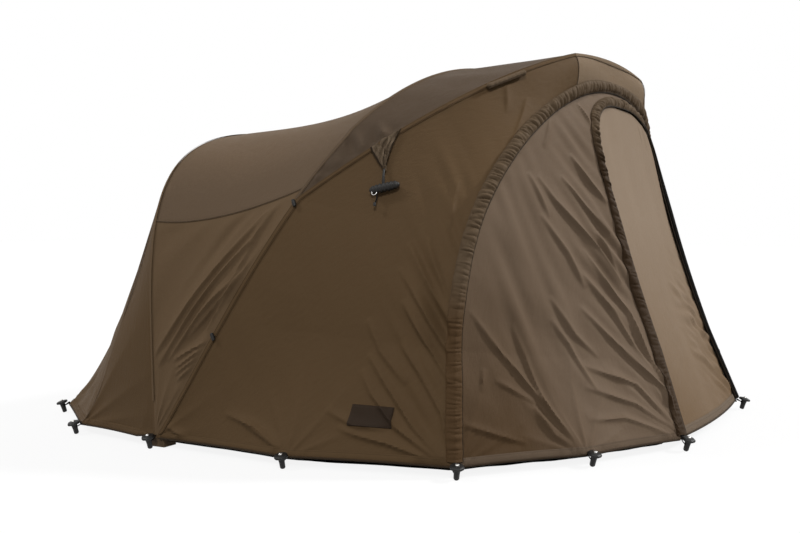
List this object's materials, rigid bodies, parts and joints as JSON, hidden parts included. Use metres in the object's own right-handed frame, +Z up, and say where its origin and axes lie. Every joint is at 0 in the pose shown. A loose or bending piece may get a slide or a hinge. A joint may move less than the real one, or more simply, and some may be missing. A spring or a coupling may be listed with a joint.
{
  "type": "bivvy tent",
  "caption": "Low fishing bivvy tent with folding ribs on ground hubs, a brow over a zipped drop-down door, gathered zip covers, side tabs and ground pegs.",
  "frame": {"origin": "on the ground, midway between the two hubs, under the hub axis", "axes": "+Z up, the door faces -Y, and X runs across the tent along the hub axis"},
  "size_m": [2.7448, 2.4994, 1.3989],
  "materials": {
    "roof_cloth": "khaki brown coated cloth",
    "wall_cloth": "khaki brown coated cloth in shade",
    "front_cloth": "khaki brown coated cloth, light side",
    "ground_cloth": "dark coated groundsheet",
    "trim_cloth": "gathered cloth and webbing",
    "zip_plastic": "black zip tape and teeth",
    "rib_tube": "dark anodised tube",
    "bolt_metal": "bright steel",
    "black_plastic": "moulded black plastic",
    "peg_plastic": "moulded black plastic"
  },
  "bodies": {
    "root": {"groundsheet": "ground_cloth", "hub_left": "black_plastic", "hub_right": "black_plastic", "hub_bolt_left": "bolt_metal", "hub_bolt_right": "bolt_metal", "rear_skirt_left": "wall_cloth", "rear_skirt_right": "wall_cloth", "back_wall": "wall_cloth", "side_wall_left": "wall_cloth", "side_wall_right": "wall_cloth", "fascia": "front_cloth", "front_panel_left": "front_cloth", "front_panel_right": "front_cloth", "outer_zip": "zip_plastic", "door_zip": "zip_plastic", "outer_zip_cover": "trim_cloth", "door_zip_cover": "trim_cloth", "side_patch": "trim_cloth", "peg_back_left": "peg_plastic", "peg_back_right": "peg_plastic", "peg_rear_corner_left": "peg_plastic", "peg_rear_corner_right": "peg_plastic", "peg_hub_left": "peg_plastic", "peg_hub_right": "peg_plastic", "peg_side_left": "peg_plastic", "peg_side_right": "peg_plastic", "peg_corner_left": "peg_plastic", "peg_corner_right": "peg_plastic", "peg_front_left": "peg_plastic", "peg_front_right": "peg_plastic", "peg_door_left": "peg_plastic", "peg_door_right": "peg_plastic"},
    "main_rib": {"main_rib": "rib_tube", "main_lug_left": "black_plastic", "main_lug_right": "black_plastic", "shoulder_left": "black_plastic", "shoulder_right": "black_plastic", "rear_roof": "roof_cloth", "rear_side_left": "roof_cloth", "rear_side_right": "roof_cloth"},
    "rear_rib": {"rear_rib": "rib_tube", "rear_lug_left": "black_plastic", "rear_lug_right": "black_plastic"},
    "visor": {"visor_bow": "rib_tube", "visor_lug_left": "black_plastic", "visor_lug_right": "black_plastic", "visor_roof": "roof_cloth", "tab_left": "trim_cloth", "tab_right": "trim_cloth", "strap_roll_left": "trim_cloth", "strap_roll_right": "trim_cloth"},
    "clip_left": {"clip_left": "black_plastic"},
    "clip_right": {"clip_right": "black_plastic"},
    "door": {"door_panel": "front_cloth"},
    "slider_door_left": {"slider_door_left": "black_plastic"},
    "slider_door_right": {"slider_door_right": "black_plastic"},
    "slider_outer_left": {"slider_outer_left": "black_plastic"},
    "slider_outer_right": {"slider_outer_right": "black_plastic"}
  },
  "joints": [
    {"name": "frame_fold", "type": "hinge", "parent": "root", "child": "main_rib", "pos_m": [0, 0, 0.075], "axis": [-1, 0, 0], "range_deg": [0, 104], "deforming": ["rear_skirt_left", "rear_skirt_right", "back_wall", "side_wall_left", "side_wall_right", "fascia", "front_panel_left", "front_panel_right", "outer_zip", "door_zip", "outer_zip_cover", "door_zip_cover", "side_patch", "door_panel", "rear_roof", "rear_side_left", "rear_side_right", "visor_roof"]},
    {"name": "rear_rib_fold", "type": "hinge", "parent": "main_rib", "child": "rear_rib", "pos_m": [0, 0, 0.075], "axis": [-1, 0, 0], "range_deg": [-25, 0]},
    {"name": "visor_fold", "type": "hinge", "parent": "main_rib", "child": "visor", "pos_m": [0, -0.47428, 0.852], "axis": [1, 0, 0], "range_deg": [0, 145]},
    {"name": "clip_left_swing", "type": "hinge", "parent": "visor", "child": "clip_left", "pos_m": [-1.06556, -0.78404, 0.94429], "axis": [-0.3468, 0.9379, 0], "range_deg": [0, 60]},
    {"name": "clip_right_swing", "type": "hinge", "parent": "visor", "child": "clip_right", "pos_m": [1.06556, -0.78404, 0.94429], "axis": [-0.3468, -0.9379, 0], "range_deg": [0, 60]},
    {"name": "door_drop", "type": "hinge", "parent": "root", "child": "door", "pos_m": [0, -1.62, 0.03], "axis": [1, 0, 0], "range_deg": [0, 106]},
    {"name": "door_zip_run_left", "type": "slide", "parent": "root", "child": "slider_door_left", "axis": [0.2004, 0.3484, 0.9157], "range_m": [0, 0.22]},
    {"name": "outer_zip_run_left", "type": "slide", "parent": "root", "child": "slider_outer_left", "axis": [0.145, 0.0796, 0.9862], "range_m": [0, 0.22]},
    {"name": "door_zip_run_right", "type": "slide", "parent": "root", "child": "slider_door_right", "axis": [-0.2004, 0.3484, 0.9157], "range_m": [0, 0.22]},
    {"name": "outer_zip_run_right", "type": "slide", "parent": "root", "child": "slider_outer_right", "axis": [-0.145, 0.0796, 0.9862], "range_m": [0, 0.22]}
  ],
  "couplings": [
    {"joint": "rear_rib_fold", "follows": "frame_fold", "ratio": -0.24038},
    {"joint": "visor_fold", "follows": "frame_fold", "ratio": 1.3942}
  ]
}
